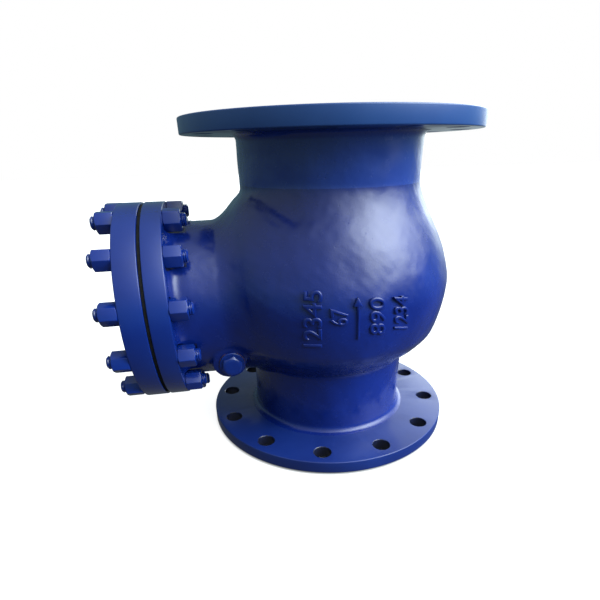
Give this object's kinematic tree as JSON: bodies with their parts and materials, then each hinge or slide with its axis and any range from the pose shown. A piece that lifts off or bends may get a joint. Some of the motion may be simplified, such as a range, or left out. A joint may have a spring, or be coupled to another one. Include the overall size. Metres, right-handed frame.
{
  "type": "swing check valve",
  "caption": "Flanged swing check valve with a round globe body, a bolted side cover, and a hinged disc on a swing arm over a seat ring.",
  "frame": {"origin": "centre of the inlet port at the inlet flange's raised face", "axes": "+Z is the flow axis from inlet to outlet, the side cover looks along -X, and the hinge pin lies along Y"},
  "size_m": [0.5295, 0.4048, 0.46],
  "materials": {
    "casting_paint": "glossy blue enamel over as-cast steel",
    "cover_paint": "glossy blue enamel over turned steel",
    "fastener_paint": "blue enamel over bolts",
    "stainless": "turned",
    "bronze": "turned bronze",
    "copper": "soft copper",
    "graphite": "matt graphite sheet",
    "cast_steel": "as cast, machined where it works"
  },
  "bodies": {
    "housing": {"valve_body": "casting_paint", "seat_ring": "stainless", "pin_bush_front": "bronze", "pin_bush_back": "bronze", "pin_plug_front": "fastener_paint", "pin_plug_back": "fastener_paint", "plug_gasket_front": "copper", "plug_gasket_back": "copper", "arm_spacer_front": "bronze", "arm_spacer_back": "bronze", "bonnet_cover": "cover_paint", "bonnet_gasket": "graphite", "cover_studs": "fastener_paint", "cover_nuts": "fastener_paint", "body_side_nuts": "fastener_paint"},
    "arm": {"swing_arm": "cast_steel", "hinge_pin": "stainless", "arm_cross_pin": "stainless"},
    "disc_set": {"disc": "cast_steel", "disc_washer": "stainless", "disc_nut": "stainless", "split_pin": "stainless"}
  },
  "joints": [
    {"name": "arm_swing", "type": "hinge", "parent": "housing", "child": "arm", "pos_m": [-0.165, 0, 0.15], "axis": [0, -1, 0], "range_deg": [0, 65]},
    {"name": "disc_spin", "type": "hinge", "parent": "arm", "child": "disc_set", "pos_m": [0, 0, 0.15], "axis": [0, 0, 1], "continuous": true}
  ]
}
